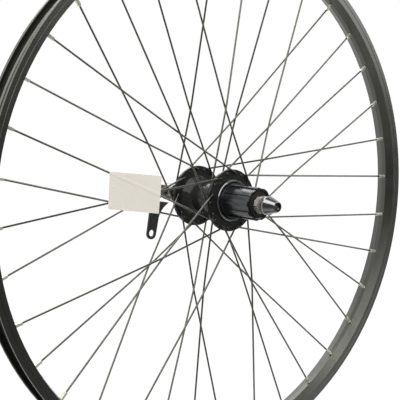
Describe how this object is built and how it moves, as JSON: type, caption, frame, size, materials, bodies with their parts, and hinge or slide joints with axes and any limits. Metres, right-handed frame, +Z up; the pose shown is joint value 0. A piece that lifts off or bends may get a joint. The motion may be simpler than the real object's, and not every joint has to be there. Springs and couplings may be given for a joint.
{
  "type": "bicycle rear wheel",
  "caption": "Spoked bicycle rear wheel with a hooked box-section rim, cup-and-cone freehub hub and quick-release skewer, without tyre.",
  "frame": {"origin": "centre of the wheel: on the axle's axis, in the middle plane of the rim", "axes": "+Y along the axle towards the quick-release lever (the drive side is -Y), +Z up as pictured"},
  "size_m": [0.5709, 0.1865, 0.571],
  "materials": {
    "rim_black": "black anodised, satin",
    "rim_tape": "matt",
    "spoke_black": "black oxide, semi-gloss",
    "nipple_nickel": "nickel plated",
    "hub_black": "black anodised, gloss",
    "freehub_dark": "black, satin",
    "bearing_steel": "ground",
    "plated_steel": "zinc plated",
    "axle_steel": "turned",
    "bush_bronze": "turned",
    "seal_black": "matt",
    "nut_grey": "dark anodised, satin",
    "housing_grey": "dark anodised, satin",
    "lever_black": "black anodised, satin",
    "spring_steel": "bright"
  },
  "bodies": {
    "axle": {"axle": "axle_steel", "left_cone": "bearing_steel", "right_cone": "bearing_steel", "left_spacer": "plated_steel", "left_lock_washer": "plated_steel", "right_lock_washer": "plated_steel", "left_locknut": "plated_steel", "right_locknut": "plated_steel", "right_dust_seal": "seal_black", "cam_housing": "housing_grey", "housing_grip_ring": "plated_steel", "housing_spring": "spring_steel"},
    "wheel": {"rim": "rim_black", "rim_strip": "rim_tape", "spokes_drive_leading": "spoke_black", "spokes_drive_trailing": "spoke_black", "spokes_left_leading": "spoke_black", "spokes_left_trailing": "spoke_black", "nipples": "nipple_nickel", "hub_shell": "hub_black", "left_bearing_cup": "bearing_steel", "left_dust_cap": "plated_steel", "freehub_core": "axle_steel", "freehub_fixing_bolt": "axle_steel", "pawl_spring": "spring_steel"},
    "freehub": {"freehub_barrel": "freehub_dark", "freehub_inner_bush": "bush_bronze", "freehub_outer_bush": "bush_bronze"},
    "balls": {"bearing_balls": "bearing_steel"},
    "pawl_a": {"upper_pawl": "bearing_steel"},
    "pawl_b": {"lower_pawl": "bearing_steel"},
    "skewer": {"skewer_rod": "axle_steel"},
    "nut": {"qr_nut": "nut_grey", "nut_grip_ring": "plated_steel", "nut_spring": "spring_steel"},
    "lever": {"qr_lever": "lever_black", "lever_cam": "axle_steel"}
  },
  "joints": [
    {"name": "wheel_spin", "type": "hinge", "parent": "axle", "child": "wheel", "pos_m": [0, 0, 0], "axis": [0, 1, 0], "continuous": true},
    {"name": "ball_orbit", "type": "hinge", "parent": "axle", "child": "balls", "pos_m": [0, 0, 0], "axis": [0, 1, 0], "continuous": true},
    {"name": "freehub_spin", "type": "hinge", "parent": "wheel", "child": "freehub", "pos_m": [0, -0.045, 0], "axis": [0, 1, 0], "continuous": true},
    {"name": "upper_pawl_tilt", "type": "hinge", "parent": "wheel", "child": "pawl_a", "pos_m": [0.00369, -0.0296, 0.01015], "axis": [0, -1, 0], "range_deg": [0, 9], "stiffness_Nm_per_rad": 0.02},
    {"name": "lower_pawl_tilt", "type": "hinge", "parent": "wheel", "child": "pawl_b", "pos_m": [-0.00369, -0.0296, -0.01015], "axis": [0, -1, 0], "range_deg": [0, 9], "stiffness_Nm_per_rad": 0.02},
    {"name": "lever_swing", "type": "hinge", "parent": "axle", "child": "lever", "pos_m": [0, 0.0855, 0], "axis": [0.9816, 0, -0.1908], "range_deg": [0, 180]},
    {"name": "skewer_pull", "type": "slide", "parent": "axle", "child": "skewer", "axis": [0, 1, 0], "range_m": [0, 0.0035], "deforming": ["nut_spring"]},
    {"name": "nut_unscrew", "type": "slide", "parent": "skewer", "child": "nut", "axis": [0, -1, 0], "range_m": [0, 0.025]}
  ],
  "couplings": [
    {"joint": "ball_orbit", "follows": "wheel_spin", "ratio": 0.62},
    {"joint": "skewer_pull", "follows": "lever_swing", "m_per_rad": 0.001114}
  ]
}
